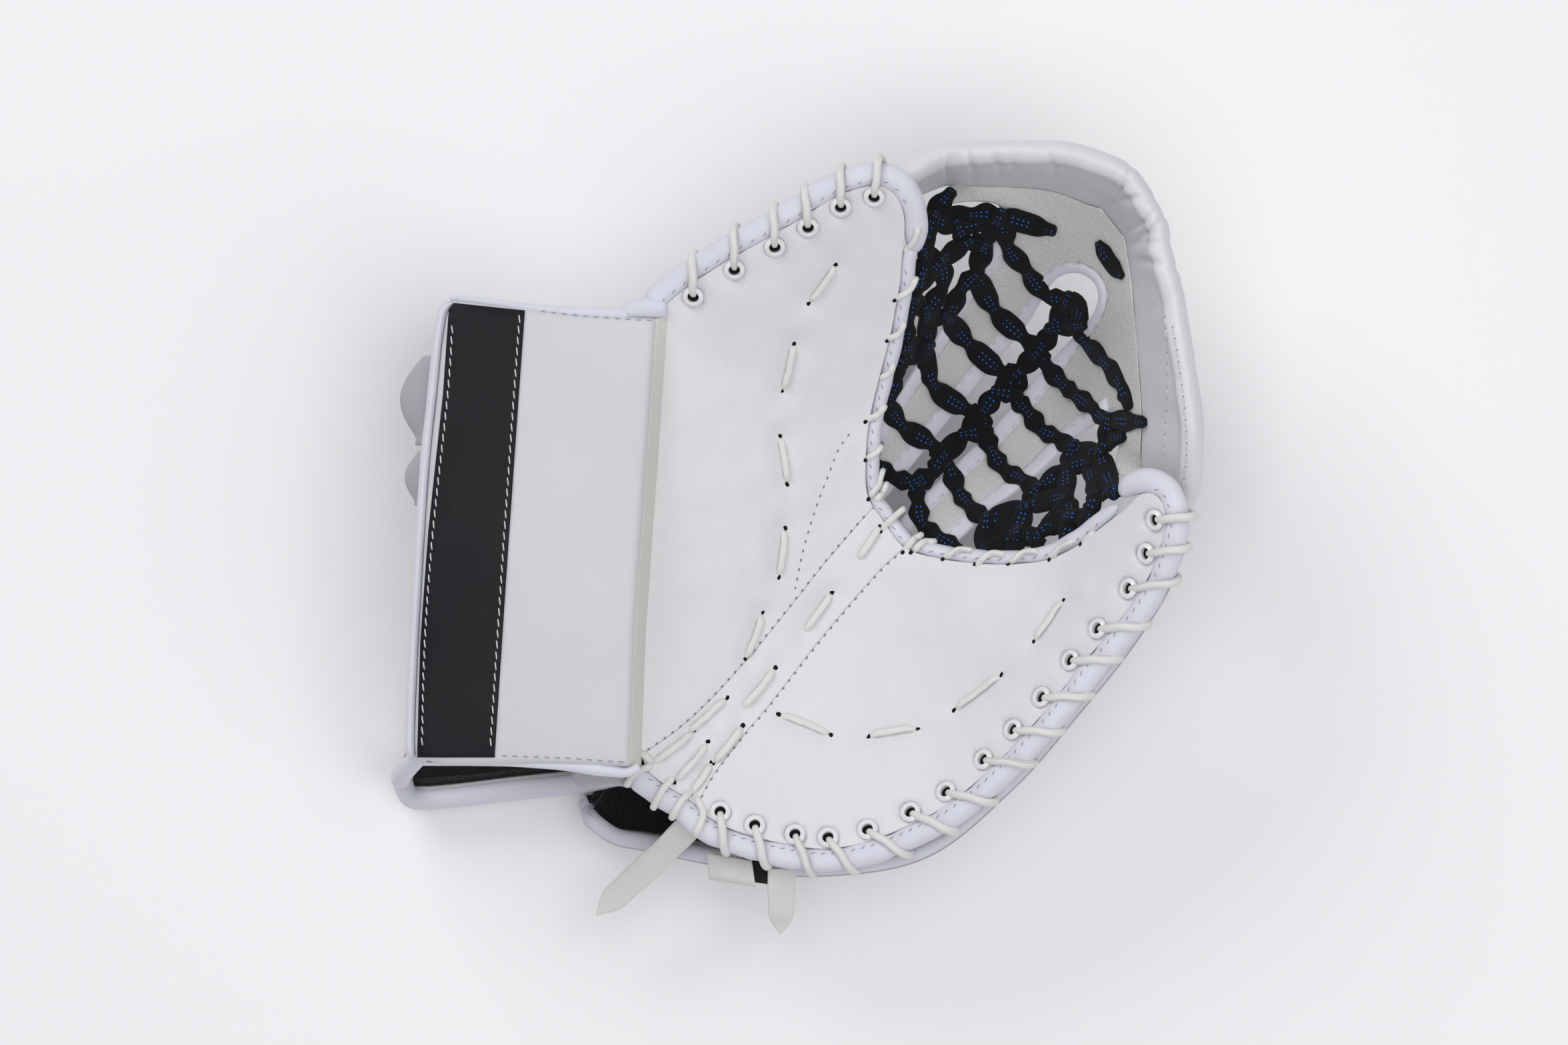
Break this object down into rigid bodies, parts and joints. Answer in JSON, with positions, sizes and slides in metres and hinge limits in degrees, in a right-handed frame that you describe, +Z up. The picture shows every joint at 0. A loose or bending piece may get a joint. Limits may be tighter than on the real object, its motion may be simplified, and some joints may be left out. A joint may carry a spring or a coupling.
{
  "type": "goalie catcher glove",
  "caption": "White leather catcher glove with a one-piece cuff, laced palm edges, raised rim and a black lace net over a strap tee, lying palm up with its hand hollow open at the wrist.",
  "frame": {"origin": "middle of the footprint, on the floor the back shells rest on", "axes": "+X from the cuff to the rim of the pocket, +Y from the little finger side to the thumb side, +Z up out of the palm"},
  "size_m": [0.3506, 0.3444, 0.1398],
  "materials": {
    "white_leather": "fine-grained white leather with a low sheen",
    "binding_nylon": "pale lavender-white nylon binding with a fine rib, matt",
    "tee_leather": "grained grey-white leather, satin",
    "crease_leather": "beige folded leather, matt",
    "black_leather": "smooth black leather with a low sheen",
    "black_mesh": "black knitted lining, matt",
    "waxed_lace": "off-white waxed lacing cord, satin",
    "eyelet_enamel": "glossy white enamel",
    "net_lace": "flat black woven lace with blue flecks, matt",
    "strap_leather": "off-white split leather strap, matt",
    "tab_leather": "pale grey leather, matt"
  },
  "bodies": {
    "root": {"palm_thumb": "white_leather", "palm_break": "white_leather", "palm_finger": "white_leather", "roll_thumb": "binding_nylon", "roll_finger": "binding_nylon", "roll_heel": "binding_nylon", "roll_pocket": "binding_nylon", "eyelet_thumb_1": "eyelet_enamel", "eyelet_thumb_2": "eyelet_enamel", "eyelet_thumb_3": "eyelet_enamel", "eyelet_thumb_4": "eyelet_enamel", "eyelet_thumb_5": "eyelet_enamel", "eyelet_thumb_6": "eyelet_enamel", "eyelet_finger_1": "eyelet_enamel", "eyelet_finger_2": "eyelet_enamel", "eyelet_finger_3": "eyelet_enamel", "eyelet_finger_4": "eyelet_enamel", "eyelet_finger_5": "eyelet_enamel", "eyelet_finger_6": "eyelet_enamel", "eyelet_finger_7": "eyelet_enamel", "eyelet_finger_8": "eyelet_enamel", "eyelet_finger_9": "eyelet_enamel", "eyelet_finger_10": "eyelet_enamel", "eyelet_finger_11": "eyelet_enamel", "eyelet_finger_12": "eyelet_enamel", "eyelet_finger_13": "eyelet_enamel", "eyelet_finger_14": "eyelet_enamel", "eyelet_finger_15": "eyelet_enamel", "lacing_thumb": "waxed_lace", "lacing_finger": "waxed_lace", "thumb_back": "white_leather", "finger_back": "white_leather", "back_lining": "black_mesh", "rim_band": "white_leather", "tee_binding_left": "binding_nylon", "tee_binding_slot": "binding_nylon", "tee_binding_right": "binding_nylon", "tee": "tee_leather", "pocket_net": "net_lace", "net_lug": "net_lace", "cuff_front": "white_leather", "cuff_roll": "binding_nylon", "cuff_band": "black_leather", "cuff_wrap": "white_leather", "cuff_lining": "black_mesh", "cuff_hinge": "crease_leather", "strap_tail_long": "strap_leather", "strap_tail_short": "strap_leather", "strap_keeper": "strap_leather", "strap_elastic": "black_mesh", "wrist_tab_upper": "tab_leather", "wrist_tab_lower": "tab_leather"}
  },
  "joints": []
}
